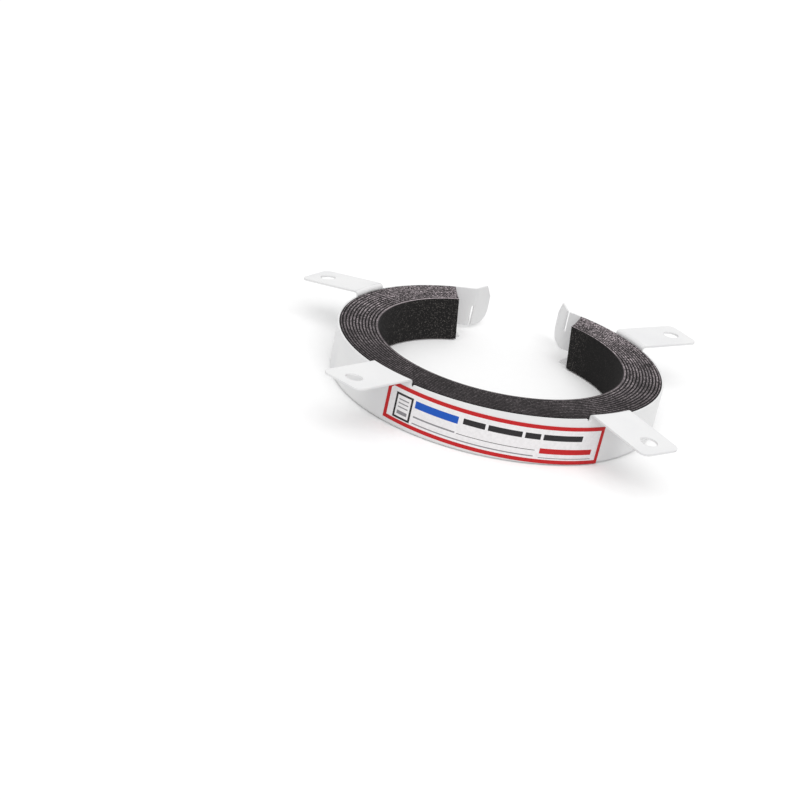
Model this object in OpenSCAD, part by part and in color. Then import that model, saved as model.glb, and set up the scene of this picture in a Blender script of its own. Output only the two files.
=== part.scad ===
// Pipe fire collar, sprung open: a folded steel band that holds a pack of intumescent strips.
// Lengths are in millimetres and angles in degrees.
// The origin is on the pipe's axis, level with the strips' upper edges. +Z points into the slab or
// wall that the lugs are fixed to, and the mouth of the collar faces +Y.
// Places along the band are angles of the closed collar. The band keeps its length when the
// collar springs open, so it takes up a smaller angle on its larger radius.

/* [Pipe and mouth] */
// Outside diameter of the pipe that the closed collar goes round
pipe_d = 110; // [90:1:160]
// Radial room between the pipe and the innermost strip, collar closed
pipe_room = 0.5; // [0:0.1:2]
// How far every radius has grown by springing the collar open
spring = 9.8; // [7:0.1:14]

/* [Intumescent strips] */
// Number of strips laid over each other
strip_count = 12; // [8:1:14]
// Thickness of one strip
strip_t = 1.6; // [1.2:0.1:2.5]
// Height of a strip along the pipe
strip_h = 24.2; // [23:0.1:40]
// Clearance between strips, and between the pack and the band
strip_fit = 0.1; // [0.05:0.05:0.3]
// Radius of the strips' slit edges where they lie against each other
strip_edge_r = 0.35; // [0.1:0.05:0.5]
// Angle by which the innermost strip's left end has slipped back behind the outermost's
left_fan = 3.3; // [0:0.1:8]
// Angle by which the innermost strip's right end has slipped back behind the outermost's
right_fan = 4.6; // [0:0.1:8]
// Angle by which the strips' ends are cut off square, with the lower edge turned clockwise
end_slant = 7; // [0:0.5:12]

/* [Steel band] */
// Thickness of the sheet
sheet_t = 1; // [0.6:0.1:1.4]
// Inside radius of every fold
fold_r = 1; // [0.6:0.1:1.4]
// Distance of the band's edge below the strips' upper edges
edge_drop = 0.3; // [0.2:0.1:1.4]
// Angle from the left end of the pack to the first lug, collar closed
left_margin = 46.7; // [40:0.1:52]
// Angle from the last lug to the right end of the pack, collar closed
right_margin = 28; // [22:0.1:34]
// Distance by which the folded band runs on past the left end of the pack
left_overrun = 3.7; // [0:0.1:6]

/* [Lugs] */
// Number of lugs
lug_count = 4; // [3:1:4]
// Angle from the first lug to the last, collar closed
lug_span = 273.5; // [250:0.5:276]
// Angle by which each lug stands off its even place, because the band opens most opposite the mouth
lug_strays = [0, 1.2, -3, 0]; // [-4:0.1:4]
// Width of a lug
lug_w = 24.2; // [16:0.1:30]
// Distance from the band to the tip of a lug
lug_reach = 37; // [24:0.1:45]
// Radius of a lug's corners
lug_corner_r = 4.2; // [1:0.1:6]
// Diameter of the anchor hole
lug_hole_d = 8.5; // [5:0.1:12]
// Distance from the anchor hole's centre to the tip
lug_hole_inset = 9.8; // [7:0.1:12]
// Height of the lugs' upper faces above the strips' upper edges
lug_rise = 2.4; // [2.2:0.1:5]
// Angle by which each lug, bent by hand, points up or down
lug_lifts = [-8, 3, -4.5, 2]; // [-12:0.5:12]
// Width of the relief notch on each side of a lug
relief_w = 1.4; // [1:0.1:4]
// Depth of the relief notch's straight sides below the band's edge
relief_depth = 0.4; // [0.4:0.1:2]

/* [Tabs] */
// Number of tabs folded in under the pack
tab_count = 17; // [12:1:20]
// Width of the pack that the tabs leave bare along the bore
tab_bare = 4.6; // [2:0.1:9]
// Width of the slot between two tabs
tab_slot_w = 5; // [3:0.1:7]
// Distance from a slot's round end to the start of the fold
tab_slot_end = 0.7; // [0.2:0.1:3]

/* [Hook tongues] */
// Distance along the band from the left end of the pack to the left hook's slot
left_lead = 13; // [9:0.1:15]
// Distance along the band from the right end of the pack to the right hook's slot
right_lead = 8.8; // [5:0.1:11]
// Height of the tongues' lower edge above the fold
tongue_step = 0.3; // [0.1:0.1:3]
// Width of a hook's slot
hook_slot_w = 1.8; // [1.2:0.1:3]
// Depth of a hook's slot past the middle of the tongue
hook_slot_extra = 0.9; // [0.2:0.1:2]
// Radius of the bend, at mid-sheet, that flares a hook outwards
flare_r = 6; // [4:0.1:8]
// Angle of the left hook's flare
left_flare_angle = 45; // [30:1:60]
// Angle of the right hook's flare
right_flare_angle = 52; // [30:1:60]
// Length of sheet from the left hook's slot to its end
left_flare = 16; // [14:0.1:22]
// Length of sheet from the right hook's slot to its end
right_flare = 18.5; // [14:0.1:24]
// Length of the cut corner on the lug side of a hook
tip_cut_len = 5; // [1:0.1:7]
// Height of that corner
tip_cut_h = 7; // [1:0.1:10]
// Radius of the rounded corner on the tab side of a hook
heel_r = 8; // [2:0.1:10]

/* [Label] */
// Length of the label along the band
label_len = 114.5; // [70:0.5:118]
// Height of the label
label_h = 19.8; // [10:0.1:20]
// Thickness of the label
label_t = 0.15; // [0.1:0.05:0.4]
// Distance of the label's middle below the middle of the wall
label_low = 0.7; // [0:0.1:1]
// Distance of the label's middle from midway between the front lugs, to the left
label_shift = 0.9; // [0:0.1:4]
// Angle by which the label is stuck on askew
label_tilt = 1.4; // [0:0.1:2]
// Size of the label's clipped corner beside the lug
label_clip = 2.5; // [1:0.1:4]
// Thickness of the glue under the label
label_glue = 0.03; // [0.02:0.01:0.1]

/* [Hidden] */
$fn = 96;
full_turn = 360;
half_turn = 180;
right_angle = 90;
mouth_at = 90;
// Overshoot of a cutter past the face that it cuts
past = 1;
// Overlap of two stretches of sheet that run into each other
lap = 0.3;
// What a bend's sheet is thinner by on each side, so that the sheet it runs into takes it in
skin = 0.02;

strip_pitch = strip_t + strip_fit;
bore_r = pipe_d / 2 + pipe_room + spring;
pack_r = bore_r + strip_count * strip_pitch - strip_fit;
band_ir = pack_r + strip_fit;
band_or = band_ir + sheet_t;
band_mid_r = (band_ir + band_or) / 2;
fold_or = fold_r + sheet_t;

seat_z = -strip_h;
foot_z = seat_z - sheet_t;
fold_z = foot_z + fold_or;
edge_z = -edge_drop;
bend_z = lug_rise - fold_or;
root_z = min(edge_z, bend_z) - lap;
label_z = (edge_z + foot_z) / 2 - label_low;
tongue_z = fold_z + tongue_step;
tongue_h = edge_z - tongue_z;

pack_angle = left_margin + lug_span + right_margin;
lug_pitch = lug_span / (lug_count - 1);
pack_start = mouth_at + (full_turn - sprung(pack_angle, band_mid_r)) / 2;
band_start = pack_start - arc_angle(left_overrun, band_mid_r);
band_end = pack_start + sprung(pack_angle, band_mid_r);
band_angle = band_end - band_start;

tab_pitch = band_angle / tab_count;
tab_r = bore_r + tab_bare;
tab_slot_r = band_ir - fold_r - tab_slot_end - tab_slot_w / 2;

lug_bend_r = band_or + fold_r;
lug_tip_r = band_or + lug_reach;
lug_len = lug_tip_r - lug_bend_r;

hook_slot_depth = tongue_h / 2 + hook_slot_extra;
flare_mid_r = band_mid_r + flare_r;
left_hook_at = pack_start - arc_angle(left_lead - flare_arc(left_flare_angle) / 2, band_mid_r);
right_hook_at = band_end + arc_angle(right_lead - flare_arc(right_flare_angle) / 2, band_mid_r);

label_r = band_or + label_glue;
label_half = label_r * sin(arc_angle(label_len / 2, label_r));

function strip_name(i) = str("intumescent_strip_", i < 10 ? "0" : "", i);

// Angle that a piece at radius r takes up sprung open, from its angle with the collar closed
function sprung(angle, r) = angle * (r - spring) / r;

// Angle that a length takes up along a circle
function arc_angle(length, r) = length / r * half_turn / PI;

// Angle, sprung open, of a place on the band given by its closed angle from the pack's left end
function place(angle) = pack_start + sprung(angle, band_mid_r);

// Angle of a lug's middle, counted from the left
function lug_at(i) = place(left_margin + i * lug_pitch) + lug_strays[i];

// Length of sheet in the bend that flares a hook by an angle
function flare_arc(angle) = flare_r * angle * PI / half_turn;

// Point in plan at a radius and an angle
function polar(r, angle) = [r * cos(angle), r * sin(angle)];

// Ring of sheet around a bend, seen along the bend
module bend_ring(thinner) {
    difference() {
        circle(fold_or - thinner);
        circle(fold_r + thinner);
    }
}

// Section through the wall, the fold and a tab
module band_section() {
    fold_in = band_ir - fold_r;
    translate([band_ir, fold_z]) square([sheet_t, edge_z - fold_z]);
    translate([fold_in, fold_z]) intersection() {
        bend_ring(0);
        translate([0, -fold_or]) square(fold_or);
    }
    translate([tab_r - past, foot_z]) square([fold_in - tab_r + past, sheet_t]);
}

// Everything inside the straight inner edges of the tabs
module tab_edges() {
    spare = arc_angle(past, tab_r);
    corner_r = tab_r / cos(tab_pitch / 2);
    end_r = tab_r / cos(tab_pitch / 2 + spare);
    first = polar(end_r, band_start - spare);
    last = polar(end_r, band_end + spare);
    corners = [for (i = [1:tab_count - 1]) polar(corner_r, band_start + i * tab_pitch)];
    linear_extrude(sheet_t + 2 * past) polygon(concat([[0, 0], first], corners, [last]));
}

// Slot between two tabs, with parallel sides and a round outer end
module tab_slot() {
    slot_in = tab_r - 2 * past;
    linear_extrude(sheet_t + 2 * past) {
        translate([slot_in, -tab_slot_w / 2]) square([tab_slot_r - slot_in, tab_slot_w]);
        translate([tab_slot_r, 0]) circle(d = tab_slot_w);
    }
}

// Sector in plan, well past the wall
module sector(from, to) {
    steps = 4;
    rim = [for (i = [0:steps]) polar(2 * band_or, from + (to - from) * i / steps)];
    polygon(concat([[0, 0]], rim));
}

// Wall of the band with its tongues and its folded and slotted tabs
module wall_and_tabs() {
    difference() {
        rotate_extrude() band_section();
        translate([0, 0, foot_z - past]) {
            linear_extrude(strip_h + 2 * past) sector(right_hook_at, left_hook_at + full_turn);
            linear_extrude(tongue_z - foot_z + past) sector(band_end, band_start + full_turn);
            tab_edges();
            for (i = [1:tab_count - 1]) rotate([0, 0, band_start + i * tab_pitch]) tab_slot();
        }
    }
}

// What the wall's edge loses at a lug: a round relief on each side, and what stands above the bend
module lug_gap() {
    depth = band_or + past - bore_r;
    root_w = lug_w + 2 * skin;
    gap_w = root_w + relief_w;
    relief_z = min(edge_z, bend_z) - relief_depth;
    if (edge_z > bend_z) translate([bore_r, -gap_w / 2, bend_z]) cube([depth, gap_w, fold_or]);
    for (side = [-1, 1]) translate([bore_r, side * gap_w / 2, relief_z]) {
        rotate([0, right_angle, 0]) cylinder(d = relief_w, h = depth);
        translate([0, -relief_w / 2, 0]) cube([depth, relief_w, edge_z - relief_z + past]);
    }
}

// Section of a lug's root and bend. The bend stops short of a right angle by the lift.
module lug_bend_section(lift) {
    span = 2 * fold_or;
    translate([band_ir + skin, root_z]) square([sheet_t - 2 * skin, bend_z - root_z]);
    translate([lug_bend_r, bend_z]) intersection() {
        bend_ring(skin);
        polygon([[0, 0], span * [-sin(lift), cos(lift)], [-span, span], [-span, 0]]);
    }
}

// Outline of a lug's plate, from its curved root to its rounded tip
module lug_outline() {
    tip = lug_len - lug_corner_r;
    difference() {
        union() {
            translate([-lug_w, -lug_w / 2]) square([lug_w + tip, lug_w]);
            translate([0, lug_corner_r - lug_w / 2]) square([lug_len, lug_w - 2 * lug_corner_r]);
            for (side = [-1, 1]) translate([tip, side * (lug_w / 2 - lug_corner_r)]) circle(lug_corner_r);
        }
        translate([-lug_bend_r, 0]) circle(lug_bend_r - lap);
        translate([lug_len - lug_hole_inset, 0]) circle(d = lug_hole_d);
    }
}

// Lug on the +X side of the band
module lug(lift) {
    spread = asin(lug_w / band_ir);
    intersection() {
        rotate([0, 0, -spread]) rotate_extrude(angle = 2 * spread) lug_bend_section(lift);
        translate([bore_r, skin - lug_w / 2, root_z - past])
            cube([lug_tip_r - bore_r, lug_w - 2 * skin, lug_rise - root_z + past]);
    }
    translate([lug_bend_r, 0, bend_z]) rotate([0, -lift, 0]) translate([0, 0, fold_r])
        linear_extrude(sheet_t) lug_outline();
}

// Moves to the sheet of a hook once it has flared by an angle: X along the sheet, Y through it
module at_flare(angle) {
    translate([flare_mid_r - flare_r * cos(angle), flare_r * sin(angle), 0])
        rotate([0, 0, right_angle - angle]) children();
}

// Reverse bend and flat end of a hook
module flare(flat, angle) {
    thick = sheet_t - 2 * skin;
    translate([flare_mid_r, 0, 0]) rotate([0, 0, half_turn - angle])
        rotate_extrude(angle = angle + arc_angle(lap, flare_r))
            translate([flare_r - thick / 2, tongue_z + skin]) square([thick, tongue_h - 2 * skin]);
    at_flare(angle) translate([-lap, -sheet_t / 2, tongue_z]) cube([flat + lap, sheet_t, tongue_h]);
}

// What a hook's end loses: a cut corner on the lug side and a round one on the tab side. The round
// one runs out through the edges at a slight angle.
module hook_corners(flat) {
    slope = tip_cut_h / tip_cut_len;
    translate([flat, edge_z]) polygon([
        [past, past],
        [-tip_cut_len - past / slope, past],
        [past, -tip_cut_h - past * slope]
    ]);
    translate([flat - heel_r, tongue_z - past]) difference() {
        square([heel_r + past, heel_r + past]);
        translate([skin, heel_r + past - skin]) circle(heel_r);
    }
}

// Half-height slot that the other hook drops into, open at the lug side or the tab side
module hook_slot(lug_side) {
    reach = 2 * sheet_t;
    depth = hook_slot_depth - hook_slot_w / 2;
    slot_z = lug_side ? edge_z - depth : tongue_z + depth;
    translate([0, reach, slot_z]) rotate([right_angle, 0, 0]) cylinder(d = hook_slot_w, h = 2 * reach);
    translate([-hook_slot_w / 2, -reach, lug_side ? slot_z : tongue_z - past])
        cube([hook_slot_w, 2 * reach, depth + past]);
}

// Hook that runs on counter-clockwise from a tongue's end on the X axis
module hook(flare_len, angle) {
    flat = flare_len - flare_arc(angle) / 2;
    difference() {
        flare(flat, angle);
        at_flare(angle) rotate([right_angle, 0, 0]) translate([0, 0, -sheet_t])
            linear_extrude(2 * sheet_t) hook_corners(flat);
    }
}

// Moves to the end of the left tongue
module at_left_tongue() {
    rotate([0, 0, left_hook_at]) mirror([0, 1, 0]) children();
}

// Moves to the end of the right tongue
module at_right_tongue() {
    rotate([0, 0, right_hook_at]) children();
}

// Folded steel band, one sheet
module collar_band() {
    color("whitesmoke") difference() {
        union() {
            difference() {
                wall_and_tabs();
                for (i = [0:lug_count - 1]) rotate([0, 0, lug_at(i)]) lug_gap();
            }
            for (i = [0:lug_count - 1]) rotate([0, 0, lug_at(i)]) lug(lug_lifts[i]);
            at_left_tongue() hook(left_flare, left_flare_angle);
            at_right_tongue() hook(right_flare, right_flare_angle);
        }
        at_left_tongue() at_flare(left_flare_angle / 2) hook_slot(false);
        at_right_tongue() at_flare(right_flare_angle / 2) hook_slot(true);
    }
}

// What rounding takes off a lower left corner at the origin
module round_off(r) {
    difference() {
        translate([-past, -past]) square(r + past);
        translate([r, r]) circle(r);
        translate([r, -past]) square(past);
        translate([-past, r]) square(past);
    }
}

// Section of a strip. The innermost keeps its sharp bore, and the outermost clears the fold.
module strip_section(inner_r) {
    outer_r = inner_r + strip_t;
    heel = outer_r > pack_r - fold_r ? fold_r : strip_edge_r;
    difference() {
        translate([inner_r, seat_z]) square([strip_t, strip_h]);
        translate([outer_r, 0]) rotate(half_turn) round_off(strip_edge_r);
        translate([outer_r, seat_z]) mirror([1, 0]) round_off(heel);
        if (inner_r > bore_r) {
            translate([inner_r, 0]) mirror([0, 1]) round_off(strip_edge_r);
            translate([inner_r, seat_z]) round_off(strip_edge_r);
        }
    }
}

// Everything beyond a strip's slanted end on the X axis, on the side of +Y or of -Y
module beyond_end(side) {
    reach = 2 * strip_h;
    rotate([-end_slant, 0, 0]) translate([0, side > 0 ? 0 : -reach, -reach])
        cube([2 * band_or, reach, 2 * reach]);
}

// Strip of intumescent material, counted from the bore
module intumescent_strip(i) {
    inner_r = bore_r + (i - 1) * strip_pitch;
    depth = (strip_count - i) / (strip_count - 1);
    from = pack_start + depth * left_fan;
    to = band_end - depth * right_fan;
    spare = arc_angle(strip_h * tan(end_slant) + past, inner_r);
    color([0.2, 0.19, 0.19]) difference() {
        rotate([0, 0, from - spare]) rotate_extrude(angle = to - from + 2 * spare) strip_section(inner_r);
        rotate([0, 0, from]) beyond_end(-1);
        rotate([0, 0, to]) beyond_end(1);
    }
}

// Flat outline of the label about its middle, with one corner clipped
module label_outline() {
    w = label_half;
    h = label_h / 2;
    polygon([[-w, -h], [w, -h], [w, h], [label_clip - w, h], [-w, h - label_clip]]);
}

// Label on the outside of the wall, between the second and third lugs
module label() {
    spread = arc_angle(label_len, label_r);
    middle = (lug_at(1) + lug_at(2)) / 2 - arc_angle(label_shift, label_r);
    color("white") rotate([0, 0, middle]) intersection() {
        rotate([0, 0, -spread / 2]) rotate_extrude(angle = spread)
            translate([label_r, label_z - label_h]) square([label_t, 2 * label_h]);
        translate([bore_r, 0, label_z]) rotate([-label_tilt, 0, 0])
            rotate([right_angle, 0, right_angle]) linear_extrude(lug_tip_r - bore_r) label_outline();
    }
}

collar_band();
for (i = [1:strip_count]) intumescent_strip(i);
label();
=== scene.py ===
"""An open pipe fire collar on a white sweep: finishes, printed label, studio and camera."""

from __future__ import annotations

import logging
import math
from dataclasses import dataclass, field
from enum import Enum
from typing import Any

import bmesh
import bpy
from mathutils import Matrix, Vector

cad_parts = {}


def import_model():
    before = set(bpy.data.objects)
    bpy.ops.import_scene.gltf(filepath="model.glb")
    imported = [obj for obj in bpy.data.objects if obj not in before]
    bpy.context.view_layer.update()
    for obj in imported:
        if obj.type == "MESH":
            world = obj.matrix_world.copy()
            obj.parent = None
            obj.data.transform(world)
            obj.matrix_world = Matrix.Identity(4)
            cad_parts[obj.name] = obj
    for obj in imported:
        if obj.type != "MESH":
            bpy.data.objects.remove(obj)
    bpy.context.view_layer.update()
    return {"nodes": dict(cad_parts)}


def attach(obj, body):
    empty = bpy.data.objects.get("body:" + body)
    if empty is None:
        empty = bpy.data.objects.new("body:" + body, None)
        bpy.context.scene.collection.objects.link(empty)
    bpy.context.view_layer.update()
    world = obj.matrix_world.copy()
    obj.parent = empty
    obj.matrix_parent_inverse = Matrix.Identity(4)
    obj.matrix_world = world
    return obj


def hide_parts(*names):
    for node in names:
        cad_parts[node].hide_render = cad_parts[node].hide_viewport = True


Material = bpy.types.Material
Object = bpy.types.Object
Socket = bpy.types.NodeSocket
Tree = bpy.types.NodeTree

MM = 0.001
FLOOR_Z = -25.2 * MM
HALF = 0.5
# Factors that drop the height and keep the place in plan.
IN_PLAN = (1.0, 1.0, 0.0)

# The Mix node has several sockets of one name, so they go by number.
FACTOR, COLOUR_A, COLOUR_B, COLOUR_OUT = 0, 6, 7, 2
FLOAT_A, FLOAT_B, FLOAT_OUT = 2, 3, 0

# Settings that many nodes share.
COLOURS = {"data_type": "RGBA"}
DOT = {"operation": "DOT_PRODUCT"}
MAXIMUM = {"operation": "MAXIMUM"}
MULTIPLY = {"operation": "MULTIPLY"}
POWER = {"operation": "POWER"}
SMOOTH = {"interpolation_type": "SMOOTHSTEP"}

log = logging.getLogger("fire_collar")


class Kind(Enum):
    """The kinds of shader node in the finishes and the world, each with its Blender name."""

    AXES = "ShaderNodeSeparateXYZ"
    BACKGROUND = "ShaderNodeBackground"
    BEVEL = "ShaderNodeBevel"
    BUMP = "ShaderNodeBump"
    CELLS = "ShaderNodeTexVoronoi"
    CHANNELS = "ShaderNodeSeparateColor"
    COORDINATES = "ShaderNodeTexCoord"
    DIFFUSE = "ShaderNodeBsdfDiffuse"
    GEOMETRY = "ShaderNodeNewGeometry"
    LIGHT_PATH = "ShaderNodeLightPath"
    MATERIAL_OUTPUT = "ShaderNodeOutputMaterial"
    MATH = "ShaderNodeMath"
    MIX = "ShaderNodeMix"
    NOISE = "ShaderNodeTexNoise"
    PRINCIPLED = "ShaderNodeBsdfPrincipled"
    RANGE = "ShaderNodeMapRange"
    VECTOR_MATH = "ShaderNodeVectorMath"
    WORLD_OUTPUT = "ShaderNodeOutputWorld"


def linear(code: str) -> tuple[float, float, float, float]:
    """Turns an sRGB hex code into the linear colour that a shader socket takes.

    Args:
        code: Six hex digits, such as "F1F1F2".

    Returns:
        Linear red, green and blue with an alpha of 1.
    """
    parts = [int(code[i : i + 2], 16) / 255 for i in (0, 2, 4)]
    red, green, blue = (c / 12.92 if c <= 0.04045 else ((c + 0.055) / 1.055) ** 2.4 for c in parts)
    return red, green, blue, 1.0


def add_node(
    tree: Tree,
    kind: Kind,
    settings: dict[str, Any] | None = None,
    inputs: dict[str | int, Any] | None = None,
) -> bpy.types.Node:
    """Adds a node with its settings, its constant inputs and its links.

    Args:
        tree: The node tree that takes the node.
        kind: The kind of node.
        settings: Attribute values of the node.
        inputs: Values or output sockets by input name or index.

    Returns:
        The new node.
    """
    node = tree.nodes.new(kind.value)
    for name, value in (settings or {}).items():
        setattr(node, name, value)
    for key, value in (inputs or {}).items():
        if isinstance(value, Socket):
            tree.links.new(value, node.inputs[key])
        else:
            node.inputs[key].default_value = value
    return node


def blank_material(name: str) -> tuple[Material, Tree]:
    """Makes an empty node material.

    Args:
        name: The material's name.

    Returns:
        The material and its cleared node tree.
    """
    material = bpy.data.materials.new(name)
    material.use_nodes = True
    material.node_tree.nodes.clear()
    return material, material.node_tree


def dress_node(node: Object, material: Material) -> None:
    """Puts a material into every slot of a CAD node.

    Args:
        node: The loaded node.
        material: The material that it gets.
    """
    if not node.material_slots:
        node.data.materials.append(material)
    for slot in node.material_slots:
        slot.material = material


def seen_directly(tree: Tree) -> Socket:
    """Tells what the camera sees, straight or in gloss and glass, from what only gives light.

    Args:
        tree: The node tree that takes the nodes.

    Returns:
        A socket that is 1 on the rays of the camera, of gloss and of glass, and 0 on the others.
    """
    path = add_node(tree, Kind.LIGHT_PATH).outputs
    straight = add_node(
        tree, Kind.MATH, MAXIMUM, {0: path["Is Camera Ray"], 1: path["Is Transmission Ray"]}
    )
    seen = add_node(
        tree, Kind.MATH, MAXIMUM, {0: straight.outputs["Value"], 1: path["Is Glossy Ray"]}
    )
    return seen.outputs["Value"]


@dataclass(frozen=True)
class PowderCoat:
    """White polyester powder coat, sprayed on zinc-coated sheet steel and stoved.

    The melt flows out to a smooth semi-gloss skin. Close up it keeps a faint orange peel, and light
    catches on the rounded film at each cut edge.
    """

    name: str = "white_powder_coated_steel"
    colour: str = "E7E7E7"
    thin_colour: str = "E2E2E3"
    roughness: float = 0.36
    smoother: float = 0.04
    duller: float = 0.06
    ior: float = 1.5
    cloud_mm: float = 38.0
    peel_mm: float = 2.2
    peel_depth_mm: float = 0.12
    peel_strength: float = 0.18
    edge_mm: float = 0.35
    edge_samples: int = 6

    def material(self) -> Material:
        """Builds the coat's material.

        Returns:
            The material.
        """
        material, tree = blank_material(self.name)
        place = add_node(tree, Kind.COORDINATES).outputs["Object"]
        # The film's thickness wanders over some centimetres, which shifts the white and the gloss.
        cloud = add_node(
            tree,
            Kind.NOISE,
            inputs={
                "Vector": place,
                "Scale": 1 / (self.cloud_mm * MM),
                "Detail": 3.0,
                "Roughness": 0.55,
            },
        ).outputs["Fac"]
        thin = add_node(
            tree, Kind.RANGE, SMOOTH, {"Value": cloud, "From Min": 0.35, "From Max": 0.68}
        )
        tone = add_node(
            tree,
            Kind.MIX,
            COLOURS,
            {
                FACTOR: thin.outputs["Result"],
                COLOUR_A: linear(self.colour),
                COLOUR_B: linear(self.thin_colour),
            },
        )
        gloss = add_node(
            tree,
            Kind.RANGE,
            inputs={
                "Value": cloud,
                "From Min": 0.3,
                "From Max": 0.7,
                "To Min": self.roughness - self.smoother,
                "To Max": self.roughness + self.duller,
            },
        )
        shader = add_node(
            tree,
            Kind.PRINCIPLED,
            inputs={
                "Base Color": tone.outputs[COLOUR_OUT],
                "Roughness": gloss.outputs["Result"],
                "IOR": self.ior,
                "Normal": self._relief(tree, place),
            },
        )
        add_node(tree, Kind.MATERIAL_OUTPUT, inputs={"Surface": shader.outputs["BSDF"]})
        return material

    def _relief(self, tree: Tree, place: Socket) -> Socket:
        """Adds the rounded edges and the orange peel.

        Real orange peel has cells under a millimetre. They are drawn coarser here, so that the
        render holds them.

        Args:
            tree: The node tree that takes the nodes.
            place: The place on the object.

        Returns:
            The normal.
        """
        peel = add_node(
            tree,
            Kind.NOISE,
            inputs={
                "Vector": place,
                "Scale": 1 / (self.peel_mm * MM),
                "Detail": 1.5,
                "Roughness": 0.45,
            },
        )
        edge = add_node(
            tree, Kind.BEVEL, {"samples": self.edge_samples}, {"Radius": self.edge_mm * MM}
        )
        relief = add_node(
            tree,
            Kind.BUMP,
            inputs={
                "Strength": self.peel_strength,
                "Distance": self.peel_depth_mm * MM,
                "Height": peel.outputs["Fac"],
                "Normal": edge.outputs["Normal"],
            },
        )
        return relief.outputs["Normal"]


@dataclass(frozen=True)
class GraphiteMat:
    """Intumescent mat of expandable graphite in an acrylic binder, rolled and slit into strips.

    Rolling lays the flakes flat, so the faces are black with a few fine glints, drawn as painted
    highlights. The slit edges show the flakes and the pale filler cut through, between the dark
    skins of neighbouring strips. Towards the mouth the edges are drawn paler and more crumbly, and
    the lines between them fade. The painted glints and a painted highlight on the innermost arris
    are strongest at the left end, and painted shade darkens the outermost strip at the wall.
    """

    name: str = "graphite_intumescent_mat"
    bore_r_mm: float = 65.3
    pitch_mm: float = 1.7
    count: int = 12
    skin_mm: float = 0.56
    face_colour: str = "1F1E1E"
    glint_colour: str = "84807C"
    core_dark: str = "2B2829"
    # The pale flakes' colour also draws the painted arris highlight.
    core_light_and_highlight: str = "EADCE1"
    # The skins' colour also draws the painted shade at the wall.
    skin_and_shade_colour: str = "0F0D0E"
    grain_mm: float = 0.58
    speck_mm: float = 0.45
    patch_mm: float = 16.0
    patch_swing: float = 0.15
    # The cut is drawn paler and more crumbly along this ramp towards the mouth.
    ramp_from_y_mm: float = -72.0
    ramp_to_y_mm: float = 62.0
    mouthward_least: float = 0.17
    crumble_power: float = 2.5
    even_shade: float = 0.62
    rarity: float = 2.6
    # Painted glints and the painted arris highlight are strongest towards this direction.
    highlight_towards: tuple[float, float, float] = (-0.4, 0.917, 0.0)
    highlight_from_mm: float = 25.0
    highlight_to_mm: float = 62.0
    tips_from_mm: float = 45.0
    tips_to_mm: float = 53.0
    # Painted shade next to the wall, in parts of a strip inwards from the wall.
    gap_shade_from: float = 0.5
    gap_shade_to: float = 0.35
    pit_mm: float = 0.2
    roughness: float = 0.85
    sheen: float = 0.15
    ior: float = 1.5

    def material(self) -> Material:
        """Builds the mat's material.

        Returns:
            The material.
        """
        material, tree = blank_material(self.name)
        place = add_node(tree, Kind.COORDINATES).outputs["Object"]
        plan = add_node(tree, Kind.VECTOR_MATH, MULTIPLY, {0: place, 1: IN_PLAN}).outputs["Vector"]
        to_mouth = add_node(tree, Kind.AXES, inputs={"Vector": place}).outputs["Y"]
        slit = self._slit(tree, plan)
        mouthward = self._mouthward(tree, to_mouth)
        highlight_weight = self._highlight_weight(tree, place)
        shade = self._flakes(tree, place, mouthward)
        cut = self._cut(tree, self._turns(tree, plan), mouthward, highlight_weight, shade)
        face = self._face(tree, place, highlight_weight, to_mouth)
        colour = add_node(
            tree, Kind.MIX, COLOURS, {FACTOR: slit, COLOUR_A: face, COLOUR_B: cut}
        )
        depth = add_node(tree, Kind.RANGE, inputs={"Value": slit, "To Min": 0.1, "To Max": 0.6})
        relief = add_node(
            tree,
            Kind.BUMP,
            inputs={
                "Strength": depth.outputs["Result"],
                "Distance": self.pit_mm * MM,
                "Height": shade,
            },
        )
        # Pits between the flakes swallow most of the sheen that the binder alone would have.
        shader = add_node(
            tree,
            Kind.PRINCIPLED,
            inputs={
                "Base Color": colour.outputs[COLOUR_OUT],
                "Roughness": self.roughness,
                "IOR": self.ior,
                "Specular IOR Level": self.sheen,
                "Normal": relief.outputs["Normal"],
            },
        )
        add_node(tree, Kind.MATERIAL_OUTPUT, inputs={"Surface": shader.outputs["BSDF"]})
        return material

    def _slit(self, tree: Tree, plan: Socket) -> Socket:
        """Tells slit edges and ends, which look along the axis or round the ring, from the faces.

        Args:
            tree: The node tree that takes the nodes.
            plan: The place in plan, from the pipe's axis.

        Returns:
            1 on a slit edge or end, 0 on a rolled face.
        """
        normal = add_node(tree, Kind.GEOMETRY).outputs["Normal"]
        outward = add_node(tree, Kind.VECTOR_MATH, {"operation": "NORMALIZE"}, {0: plan})
        facing = add_node(tree, Kind.VECTOR_MATH, DOT, {0: outward.outputs["Vector"], 1: normal})
        flat = add_node(
            tree, Kind.MATH, {"operation": "ABSOLUTE"}, {0: facing.outputs["Value"]}
        )
        slit = add_node(
            tree,
            Kind.RANGE,
            SMOOTH,
            {
                "Value": flat.outputs["Value"],
                "From Min": 0.25,
                "From Max": 0.8,
                "To Min": 1.0,
                "To Max": 0.0,
            },
        )
        return slit.outputs["Result"]

    def _mouthward(self, tree: Tree, to_mouth: Socket) -> Socket:
        """Ramps up from the side opposite the mouth to the strips' ends.

        Args:
            tree: The node tree that takes the nodes.
            to_mouth: The distance from the axis towards the mouth.

        Returns:
            The ramp, at most 1.
        """
        mouthward = add_node(
            tree,
            Kind.RANGE,
            inputs={
                "Value": to_mouth,
                "From Min": self.ramp_from_y_mm * MM,
                "From Max": self.ramp_to_y_mm * MM,
                "To Min": self.mouthward_least,
                "To Max": 1.0,
            },
        )
        return mouthward.outputs["Result"]

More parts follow.
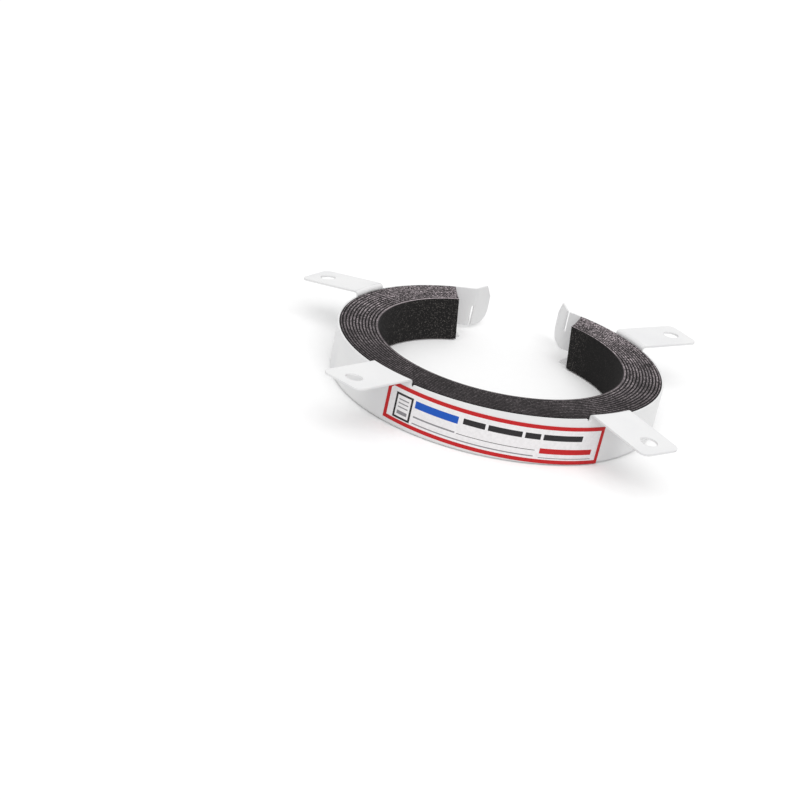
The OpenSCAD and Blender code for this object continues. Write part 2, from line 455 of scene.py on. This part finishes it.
    def _highlight_weight(self, tree: Tree, place: Socket) -> Socket:
        """Weights the painted glints and the painted arris highlight, most at the left end.

        Args:
            tree: The node tree that takes the nodes.
            place: The place on the object.

        Returns:
            The weight, at most 1.
        """
        towards = add_node(tree, Kind.VECTOR_MATH, DOT, {0: place, 1: self.highlight_towards})
        highlight_weight = add_node(
            tree,
            Kind.RANGE,
            inputs={
                "Value": towards.outputs["Value"],
                "From Min": self.highlight_from_mm * MM,
                "From Max": self.highlight_to_mm * MM,
                "To Min": 0.2,
            },
        )
        return highlight_weight.outputs["Result"]

    def _turns(self, tree: Tree, plan: Socket) -> Socket:
        """Counts the strips from the bore to a point.

        Args:
            tree: The node tree that takes the nodes.
            plan: The place in plan, from the pipe's axis.

        Returns:
            The count, a whole number at each joint between two strips.
        """
        radius = add_node(tree, Kind.VECTOR_MATH, {"operation": "LENGTH"}, {0: plan})
        across = add_node(
            tree,
            Kind.MATH,
            {"operation": "SUBTRACT"},
            {0: radius.outputs["Value"], 1: self.bore_r_mm * MM},
        )
        turns = add_node(
            tree,
            Kind.MATH,
            {"operation": "DIVIDE"},
            {0: across.outputs["Value"], 1: self.pitch_mm * MM},
        )
        return turns.outputs["Value"]

    def _flakes(self, tree: Tree, place: Socket, mouthward: Socket) -> Socket:
        """Shades the cut flake by flake.

        The flakes are some tenths of a millimetre wide. They are drawn coarser here, so that the
        render holds them. A slit edge is even away from the mouth and crumbly towards it.

        Args:
            tree: The node tree that takes the nodes.
            place: The place on the object.
            mouthward: How far the point lies on the ramp towards the mouth.

        Returns:
            The shade, from 0 to 1.
        """
        flake = add_node(
            tree,
            Kind.CELLS,
            inputs={"Vector": place, "Scale": 1 / (self.grain_mm * MM), "Randomness": 1.0},
        )
        chance = add_node(tree, Kind.CHANNELS, inputs={"Color": flake.outputs["Color"]})
        patch = add_node(
            tree,
            Kind.NOISE,
            inputs={
                "Vector": place,
                "Scale": 1 / (self.patch_mm * MM),
                "Detail": 3.0,
                "Roughness": 0.6,
            },
        )
        shift = add_node(
            tree,
            Kind.RANGE,
            inputs={
                "Value": patch.outputs["Fac"],
                "From Min": 0.3,
                "From Max": 0.7,
                "To Min": -self.patch_swing,
                "To Max": self.patch_swing,
            },
        )
        steepened = add_node(tree, Kind.MATH, POWER, {0: mouthward, 1: self.crumble_power})
        crumbly = add_node(
            tree, Kind.RANGE, inputs={"Value": steepened.outputs["Value"], "To Min": 0.65}
        )
        loose = add_node(
            tree,
            Kind.MIX,
            {"data_type": "FLOAT"},
            {
                FACTOR: crumbly.outputs["Result"],
                FLOAT_A: self.even_shade,
                FLOAT_B: chance.outputs["Red"],
            },
        )
        shade = add_node(
            tree,
            Kind.MATH,
            {"operation": "ADD", "use_clamp": True},
            {0: loose.outputs[FLOAT_OUT], 1: shift.outputs["Result"]},
        )
        return shade.outputs["Value"]

    def _joints(self, tree: Tree, turns: Socket, mouthward: Socket) -> Socket:
        """Draws the dark joints between the strips, and the painted shade of the outermost strip at
        the wall.

        Args:
            tree: The node tree that takes the nodes.
            turns: The count of strips from the bore.
            mouthward: How far the point lies on the ramp towards the mouth.

        Returns:
            0 in a joint or in full painted shade, 1 in the core of a strip.
        """
        swing = add_node(tree, Kind.MATH, {"operation": "PINGPONG"}, {0: turns, 1: HALF})
        core = add_node(
            tree,
            Kind.RANGE,
            SMOOTH,
            {
                "Value": swing.outputs["Value"],
                "From Min": 0.13,
                "From Max": self.skin_mm / self.pitch_mm,
            },
        )
        # Towards the mouth the joints fade.
        faded = add_node(
            tree, Kind.RANGE, inputs={"Value": mouthward, "From Min": 0.6, "To Max": 0.75}
        )
        # The innermost strip stands off the rest, so its joint stays dark.
        packed = add_node(
            tree, Kind.RANGE, inputs={"Value": turns, "From Min": 1.1, "From Max": 1.5}
        )
        faded_joint = add_node(
            tree, Kind.MATH, MULTIPLY, {0: faded.outputs["Result"], 1: packed.outputs["Result"]}
        )
        lines = add_node(
            tree, Kind.MATH, MAXIMUM, {0: core.outputs["Result"], 1: faded_joint.outputs["Value"]}
        )
        # Painted shade darkens the outermost strip next to the wall, as a shadowed gap would.
        gap_shade = add_node(
            tree,
            Kind.RANGE,
            inputs={
                "Value": turns,
                "From Min": self.count - self.gap_shade_from,
                "From Max": self.count - self.gap_shade_to,
                "To Min": 1.0,
                "To Max": 0.0,
            },
        )
        drawn = add_node(
            tree, Kind.MATH, MULTIPLY, {0: lines.outputs["Value"], 1: gap_shade.outputs["Result"]}
        )
        return drawn.outputs["Value"]

    def _cut(
        self, tree: Tree, turns: Socket, mouthward: Socket, highlight_weight: Socket, shade: Socket
    ) -> Socket:
        """Colours the slit edges and ends.

        Args:
            tree: The node tree that takes the nodes.
            turns: The count of strips from the bore.
            mouthward: How far the point lies on the ramp towards the mouth.
            highlight_weight: How strong the painted arris highlight is at the point.
            shade: The shade of the flake.

        Returns:
            The colour.
        """
        # Most of the cut is dark, and few flakes are pale.
        rare = add_node(tree, Kind.MATH, POWER, {0: shade, 1: self.rarity})
        grain = add_node(tree, Kind.MATH, MULTIPLY, {0: rare.outputs["Value"], 1: mouthward})
        crumb = add_node(
            tree,
            Kind.MIX,
            COLOURS,
            {
                FACTOR: grain.outputs["Value"],
                COLOUR_A: linear(self.core_dark),
                COLOUR_B: linear(self.core_light_and_highlight),
            },
        )
        # The joints take the skins' colour, and so does the painted shade at the wall.
        lined = add_node(
            tree,
            Kind.MIX,
            COLOURS,
            {
                FACTOR: self._joints(tree, turns, mouthward),
                COLOUR_A: linear(self.skin_and_shade_colour),
                COLOUR_B: crumb.outputs[COLOUR_OUT],
            },
        )
        # Painted highlight: the innermost strip's arris is drawn palest, most at the left end.
        arris = add_node(
            tree,
            Kind.RANGE,
            inputs={
                "Value": turns,
                "From Min": 0.45,
                "From Max": 0.65,
                "To Min": 0.4,
                "To Max": 0.0,
            },
        )
        pale = add_node(tree, Kind.MATH, MULTIPLY, {0: arris.outputs["Result"], 1: highlight_weight})
        cut = add_node(
            tree,
            Kind.MIX,
            COLOURS,
            {
                FACTOR: pale.outputs["Value"],
                COLOUR_A: lined.outputs[COLOUR_OUT],
                COLOUR_B: linear(self.core_light_and_highlight),
            },
        )
        return cut.outputs[COLOUR_OUT]

    def _face(self, tree: Tree, place: Socket, highlight_weight: Socket, to_mouth: Socket) -> Socket:
        """Colours the rolled faces, with painted glints where few flakes lie at the angle that
        glints.

        These flakes too are drawn coarser than they are, so that the render holds them.

        Args:
            tree: The node tree that takes the nodes.
            place: The place on the object.
            highlight_weight: How strong the painted glints are at the point.
            to_mouth: The distance from the axis towards the mouth.

        Returns:
            The colour.
        """
        speck = add_node(
            tree,
            Kind.CELLS,
            inputs={"Vector": place, "Scale": 1 / (self.speck_mm * MM), "Randomness": 1.0},
        )
        spark = add_node(tree, Kind.CHANNELS, inputs={"Color": speck.outputs["Color"]})
        bright = add_node(
            tree,
            Kind.RANGE,
            inputs={
                "Value": spark.outputs["Green"],
                "From Min": 0.8,
                "From Max": 1.0,
                "To Max": 0.45,
            },
        )
        # Painted glints gather at the very ends of the strips too.
        tips = add_node(
            tree,
            Kind.RANGE,
            inputs={
                "Value": to_mouth,
                "From Min": self.tips_from_mm * MM,
                "From Max": self.tips_to_mm * MM,
                "To Max": 0.9,
            },
        )
        glint_weight = add_node(tree, Kind.MATH, MAXIMUM, {0: highlight_weight, 1: tips.outputs["Result"]})
        glint = add_node(
            tree, Kind.MATH, MULTIPLY, {0: bright.outputs["Result"], 1: glint_weight.outputs["Value"]}
        )
        face = add_node(
            tree,
            Kind.MIX,
            COLOURS,
            {
                FACTOR: glint.outputs["Value"],
                COLOUR_A: linear(self.face_colour),
                COLOUR_B: linear(self.glint_colour),
            },
        )
        return face.outputs[COLOUR_OUT]


class Ink(Enum):
    """The printed colours of the label, each with its sRGB code."""

    STOCK = "EFEDEE"
    RED = "C22225"
    BLUE = "1E57BA"
    DARK = "2A282A"
    GREY = "8A888C"


@dataclass(frozen=True)
class LabelPrint:
    """Offset ink on matt-coated paper label stock.

    The clay coat gives an even white with hardly a sheen, and the ink film lies on it just as matt,
    with a slight mottle.
    """

    roughness: float = 0.6
    sheen: float = 0.25
    ior: float = 1.48
    mottle_mm: float = 1.5
    mottle_colour: str = "F2F2F2"

    def material(self, ink: Ink) -> Material:
        """Builds the material of one colour.

        Args:
            ink: The printed colour, or the bare stock.

        Returns:
            The material.
        """
        material, tree = blank_material(f"label_{ink.name.lower()}")
        place = add_node(tree, Kind.COORDINATES).outputs["Object"]
        mottle = add_node(
            tree,
            Kind.NOISE,
            inputs={
                "Vector": place,
                "Scale": 1 / (self.mottle_mm * MM),
                "Detail": 3.0,
                "Roughness": 0.6,
            },
        )
        weight = add_node(
            tree,
            Kind.RANGE,
            inputs={"Value": mottle.outputs["Fac"], "From Min": 0.35, "From Max": 0.75},
        )
        tone = add_node(
            tree,
            Kind.MIX,
            {**COLOURS, "blend_type": "MULTIPLY"},
            {
                FACTOR: weight.outputs["Result"],
                COLOUR_A: linear(ink.value),
                COLOUR_B: linear(self.mottle_colour),
            },
        )
        shader = add_node(
            tree,
            Kind.PRINCIPLED,
            inputs={
                "Base Color": tone.outputs[COLOUR_OUT],
                "Roughness": self.roughness,
                "IOR": self.ior,
                "Specular IOR Level": self.sheen,
            },
        )
        add_node(tree, Kind.MATERIAL_OUTPUT, inputs={"Surface": shader.outputs["BSDF"]})
        return material


@dataclass(frozen=True)
class SweepPaper:
    """Matt white background paper, even and almost without sheen.

    It is pure white to the eye. What it throws back on the object is a little less, as from paper
    of a finite size.
    """

    name: str = "white_sweep_paper"
    colour: str = "FBFBFB"
    fibre_colour: str = "FDFDFD"
    bounce_colour: str = "E4E4E4"
    fibre_mm: float = 6.0

    def material(self) -> Material:
        """Builds the paper's material.

        Returns:
            The material.
        """
        material, tree = blank_material(self.name)
        place = add_node(tree, Kind.COORDINATES).outputs["Object"]
        # Real fibres are far finer. They are drawn coarse, so that the render holds a trace.
        fibre = add_node(
            tree,
            Kind.NOISE,
            inputs={"Vector": place, "Scale": 1 / (self.fibre_mm * MM), "Detail": 2.0},
        )
        tone = add_node(
            tree,
            Kind.MIX,
            COLOURS,
            {
                FACTOR: fibre.outputs["Fac"],
                COLOUR_A: linear(self.colour),
                COLOUR_B: linear(self.fibre_colour),
            },
        )
        shown = add_node(
            tree,
            Kind.MIX,
            COLOURS,
            {
                FACTOR: seen_directly(tree),
                COLOUR_A: linear(self.bounce_colour),
                COLOUR_B: tone.outputs[COLOUR_OUT],
            },
        )
        shader = add_node(
            tree, Kind.DIFFUSE, inputs={"Color": shown.outputs[COLOUR_OUT], "Roughness": 0.0}
        )
        add_node(tree, Kind.MATERIAL_OUTPUT, inputs={"Surface": shader.outputs["BSDF"]})
        return material


@dataclass
class CollarBand:
    """The folded band with its tabs, lugs and hooks, whose shape is the CAD node's own."""

    node: str = "collar_band"
    coat: PowderCoat = field(default_factory=PowderCoat)

    def dress(self, nodes: dict[str, Object]) -> None:
        """Gives the band its coat.

        Args:
            nodes: The loaded CAD nodes by name.
        """
        dress_node(nodes[self.node], self.coat.material())
        log.info("%s: %s", self.node, self.coat.name)


@dataclass
class StripPack:
    """The twelve intumescent strips, whose shapes are the CAD nodes' own."""

    prefix: str = "intumescent_strip_"
    mat: GraphiteMat = field(default_factory=GraphiteMat)

    def dress(self, nodes: dict[str, Object]) -> None:
        """Gives every strip the mat's material.

        Args:
            nodes: The loaded CAD nodes by name.
        """
        material = self.mat.material()
        for name in sorted(name for name in nodes if name.startswith(self.prefix)):
            dress_node(nodes[name], material)
            log.info("%s: %s", name, self.mat.name)


@dataclass(frozen=True)
class PrintedArea:
    """One printed rectangle of the label, in millimetres from the label's middle."""

    ink: Ink
    left: float
    bottom: float
    right: float
    top: float

    def holds(self, u: float, v: float) -> bool:
        """Tells whether a point of the label lies in the area."""
        return self.left < u < self.right and self.bottom < v < self.top


@dataclass
class PrintedLabel:
    """The adhesive label, laid round the band between the two front lugs, in millimetres."""

    name: str = "label_print"
    length: float = 114.5
    height: float = 19.8
    inner_r: float = 86.73
    thickness: float = 0.15
    middle_deg: float = 276.8
    middle_z: float = -13.45
    tilt_deg: float = 1.4
    clip: float = 2.5
    border: float = 2.0
    step: float = 1.5
    least_step: float = 0.3
    sharp_deg: float = 30.0
    paper: LabelPrint = field(default_factory=LabelPrint)
    areas: tuple[PrintedArea, ...] = (
        PrintedArea(Ink.DARK, -51.7, -7.4, -41.7, 5.8),
        PrintedArea(Ink.STOCK, -50.6, -6.3, -42.8, 4.7),
        PrintedArea(Ink.GREY, -49.6, 2.4, -43.8, 3.0),
        PrintedArea(Ink.GREY, -49.6, 0.4, -43.8, 1.0),
        PrintedArea(Ink.GREY, -49.6, -1.6, -43.8, -1.0),
        PrintedArea(Ink.GREY, -49.6, -5.0, -43.8, -3.2),
        PrintedArea(Ink.BLUE, -40.4, 1.5, -17.8, 5.3),
        PrintedArea(Ink.DARK, -15.4, 2.3, -4.6, 5.3),
        PrintedArea(Ink.DARK, -3.2, 2.3, 13.4, 5.3),
        PrintedArea(Ink.DARK, 14.8, 2.3, 22.6, 5.3),
        PrintedArea(Ink.DARK, 24.0, 2.3, 45.0, 5.3),
        PrintedArea(Ink.GREY, -40.2, -3.5, -18.3, -2.7),
        PrintedArea(Ink.DARK, -17.4, -3.5, 21.2, -3.2),
        PrintedArea(Ink.GREY, -40.2, -6.8, 21.0, -6.2),
        PrintedArea(Ink.RED, 23.6, -4.8, 52.0, -2.0),
        PrintedArea(Ink.GREY, 23.7, -7.2, 52.4, -6.8),
    )

    def build(self) -> None:
        """Builds the label, which replaces the CAD node."""
        mesh = self._mesh()
        for ink in Ink:
            mesh.materials.append(self.paper.material(ink))
        label = bpy.data.objects.new(self.name, mesh)
        bpy.context.scene.collection.objects.link(label)
        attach(label, "root")
        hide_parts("label")
        log.info("%s: %d faces, %d colours", self.name, len(mesh.polygons), len(Ink))

    def _mesh(self) -> bpy.types.Mesh:
        """Builds the curved label, with a material number for each printed colour.

        Returns:
            The mesh.
        """
        bm = bmesh.new()
        self._lay_grid(bm)
        self._clip_corner(bm)
        inks = list(Ink)
        for face in bm.faces:
            centre = face.calc_center_median()
            face.material_index = inks.index(self._ink_at(centre.x, centre.y))
            face.smooth = True
        front = list(bm.faces)
        self._wrap(bm)
        bmesh.ops.recalc_face_normals(bm, faces=front)
        middle = math.radians(self.middle_deg)
        out = Vector((math.cos(middle), math.sin(middle), 0))
        if sum(face.normal.dot(out) for face in front) < 0:
            bmesh.ops.reverse_faces(bm, faces=front)
        bmesh.ops.solidify(bm, geom=front, thickness=self.thickness * MM)
        mesh = bpy.data.meshes.new(self.name)
        bm.to_mesh(mesh)
        bm.free()
        mesh.set_sharp_from_angle(angle=math.radians(self.sharp_deg))
        return mesh

    def _lay_grid(self, bm: bmesh.types.BMesh) -> None:
        """Lays a flat grid whose lines run along every edge of the print.

        Args:
            bm: The mesh that takes the grid.
        """
        half_l, half_h = self.length / 2, self.height / 2
        us = {-half_l, half_l, self.border - half_l, half_l - self.border}
        vs = {-half_h, half_h, self.border - half_h, half_h - self.border}
        for area in self.areas:
            us |= {area.left, area.right}
            vs |= {area.bottom, area.top}
        count = math.ceil(self.length / self.step)
        for i in range(1, count):
            u = self.length * i / count - half_l
            if min(abs(u - other) for other in us) > self.least_step:
                us.add(u)
        rows = [[bm.verts.new((u, v, 0)) for u in sorted(us)] for v in sorted(vs)]
        for low, high in zip(rows, rows[1:]):
            for a, b, c, d in zip(low, low[1:], high[1:], high):
                bm.faces.new((a, b, c, d))

    def _clip_corner(self, bm: bmesh.types.BMesh) -> None:
        """Cuts off the top left corner, and draws the line inside it where the border ends.

        Args:
            bm: The flat label's mesh.
        """
        corner = Vector((-self.length / 2, self.height / 2, 0))
        out = Vector((-1, 1, 0)).normalized()
        depth = self.clip / math.sqrt(2)
        for inset, cut in ((depth, True), (depth + self.border, False)):
            bmesh.ops.bisect_plane(
                bm,
                geom=[*bm.verts, *bm.edges, *bm.faces],
                plane_co=corner - out * inset,
                plane_no=out,
                clear_outer=cut,
            )

    def _ink_at(self, u: float, v: float) -> Ink:
        """Finds the printed colour at a point of the label.

        Args:
            u: Millimetres to the right of the middle.
            v: Millimetres above the middle.

        Returns:
            The colour that is printed last there.
        """
        half_l, half_h = self.length / 2, self.height / 2
        corner = (half_l + half_h - self.clip + u - v) / math.sqrt(2)
        if min(half_l - abs(u), half_h - abs(v), corner) < self.border:
            return Ink.RED
        found = [area.ink for area in self.areas if area.holds(u, v)]
        return found[-1] if found else Ink.STOCK

    def _wrap(self, bm: bmesh.types.BMesh) -> None:
        """Tilts the flat label and wraps it round the band.

        Args:
            bm: The flat label's mesh, in millimetres, which comes out in metres.
        """
        tilt, middle = math.radians(self.tilt_deg), math.radians(self.middle_deg)
        radius = self.inner_r + self.thickness
        for vert in bm.verts:
            u, v, _ = vert.co
            along = u * math.cos(tilt) + v * math.sin(tilt)
            z = self.middle_z + v * math.cos(tilt) - u * math.sin(tilt)
            angle = middle + along / radius
            vert.co = Vector((radius * math.cos(angle), radius * math.sin(angle), z)) * MM


@dataclass
class Studio:
    """White sweep, even daylight all round and one wide soft light from above and in front."""

    floor_size: float = 12.0
    sky_colour: str = "FFFFFF"
    fill: float = 0.72
    key: float = 1.4
    key_spread_deg: float = 70.0
    key_from: tuple[float, float, float] = (0.15, -0.5, 0.85)
    paper: SweepPaper = field(default_factory=SweepPaper)

    def build(self) -> None:
        """Builds the floor, the world and the light."""
        scene = bpy.context.scene
        scene.view_settings.view_transform = "Standard"
        self._floor(scene)
        self._world(scene)
        light = bpy.data.lights.new("key", "SUN")
        light.energy = self.key
        light.angle = math.radians(self.key_spread_deg)
        key = bpy.data.objects.new("key", light)
        key.rotation_euler = Vector(self.key_from).to_track_quat("Z", "Y").to_euler()
        scene.collection.objects.link(key)
        log.info("studio: fill %.2f, key %.2f", self.fill, self.key)

    def _floor(self, scene: bpy.types.Scene) -> None:
        """Lays the sweep under the collar.

        Args:
            scene: The scene that takes it.
        """
        half = self.floor_size / 2
        corners = [(-half, -half, 0), (half, -half, 0), (half, half, 0), (-half, half, 0)]
        mesh = bpy.data.meshes.new("sweep")
        mesh.from_pydata(corners, [], [(0, 1, 2, 3)])
        mesh.materials.append(self.paper.material())
        floor = bpy.data.objects.new("sweep", mesh)
        floor.location.z = FLOOR_Z
        scene.collection.objects.link(floor)

    def _world(self, scene: bpy.types.Scene) -> None:
        """Lights the scene evenly, and shows plain white to the camera.

        Args:
            scene: The scene that takes the world.
        """
        world = bpy.data.worlds.new("daylight")
        world.use_nodes = True
        tree = world.node_tree
        tree.nodes.clear()
        strength = add_node(
            tree,
            Kind.RANGE,
            inputs={"Value": seen_directly(tree), "To Min": self.fill, "To Max": 1.0},
        )
        sky = add_node(
            tree,
            Kind.BACKGROUND,
            inputs={"Color": linear(self.sky_colour), "Strength": strength.outputs["Result"]},
        )
        add_node(tree, Kind.WORLD_OUTPUT, inputs={"Surface": sky.outputs["Background"]})
        scene.world = world


@dataclass
class PhotoCamera:
    """The camera of the photograph. Places and sizes are in millimetres."""

    place: tuple[float, float, float] = (37.284, -723.831, 268.304)
    target: tuple[float, float, float] = (-32.508, -121.235, 8.291)
    lens: float = 66.253
    sensor: float = 36.0
    nearest: float = 10.0
    roll_deg: float = 11.369

    def build(self) -> None:
        """Builds the camera and makes it the scene's own."""
        data = bpy.data.cameras.new("camera")
        data.sensor_width = self.sensor
        data.lens = self.lens
        data.clip_start = self.nearest * MM
        camera = bpy.data.objects.new("camera", data)
        ahead = (Vector(self.target) - Vector(self.place)).normalized()
        level = ahead.cross(Vector((0, 0, 1))).normalized()
        above = level.cross(ahead)
        roll = math.radians(self.roll_deg)
        right = level * math.cos(roll) + above * math.sin(roll)
        up = above * math.cos(roll) - level * math.sin(roll)
        turn = Matrix((right, up, -ahead)).transposed().to_4x4()
        camera.matrix_world = Matrix.Translation(Vector(self.place) * MM) @ turn
        bpy.context.scene.collection.objects.link(camera)
        bpy.context.scene.camera = camera
        log.info("camera: lens %.1f mm, roll %.1f degrees", self.lens, self.roll_deg)


def main() -> None:
    """Builds the scene in order."""
    logging.basicConfig(level=logging.INFO, format="%(name)s: %(message)s")
    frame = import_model()
    nodes = frame["nodes"]
    CollarBand().dress(nodes)
    StripPack().dress(nodes)
    PrintedLabel().build()
    Studio().build()
    PhotoCamera().build()
    bpy.context.view_layer.update()


if __name__ == "__main__":
    main()
